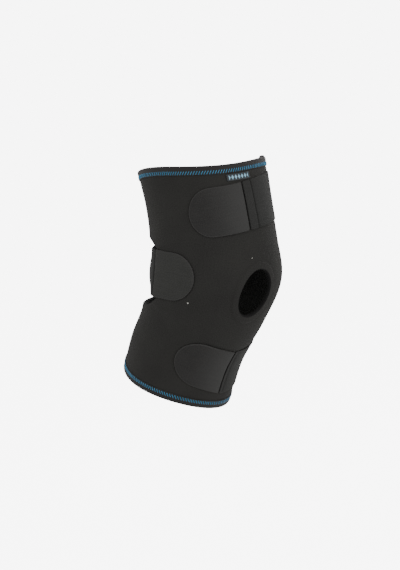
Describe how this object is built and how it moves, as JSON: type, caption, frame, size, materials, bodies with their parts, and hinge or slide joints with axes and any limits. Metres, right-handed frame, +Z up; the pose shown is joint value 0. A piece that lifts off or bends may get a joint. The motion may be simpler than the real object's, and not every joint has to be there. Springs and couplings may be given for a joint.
{
  "type": "knee sleeve",
  "caption": "Soft neoprene knee sleeve with an open kneecap, an open window behind the knee and hook-and-loop straps with rounded tabs, shaped as worn on a bent right knee.",
  "frame": {"origin": "the middle of the knee inside the tube, where the leg holds the sleeve up", "axes": "+Z up along the leg, the kneecap faces -Y, the outer side of the right leg faces -X"},
  "size_m": [0.1338, 0.1787, 0.2641],
  "materials": {
    "neoprene": "knitted nylon over neoprene foam, matte",
    "hem": "stretch binding tape, matte",
    "hook_tab": "brushed nylon over a hook pad, matte",
    "webbing": "brushed loop cloth, matte",
    "label": "damask-woven polyester"
  },
  "bodies": {
    "root": {"sleeve": "neoprene", "top_binding": "hem", "bottom_binding": "hem", "upper_strap": "webbing", "upper_tab": "hook_tab", "mid_strap": "webbing", "mid_tab": "hook_tab", "lower_strap": "webbing", "lower_tab": "hook_tab", "label": "label"}
  },
  "joints": []
}
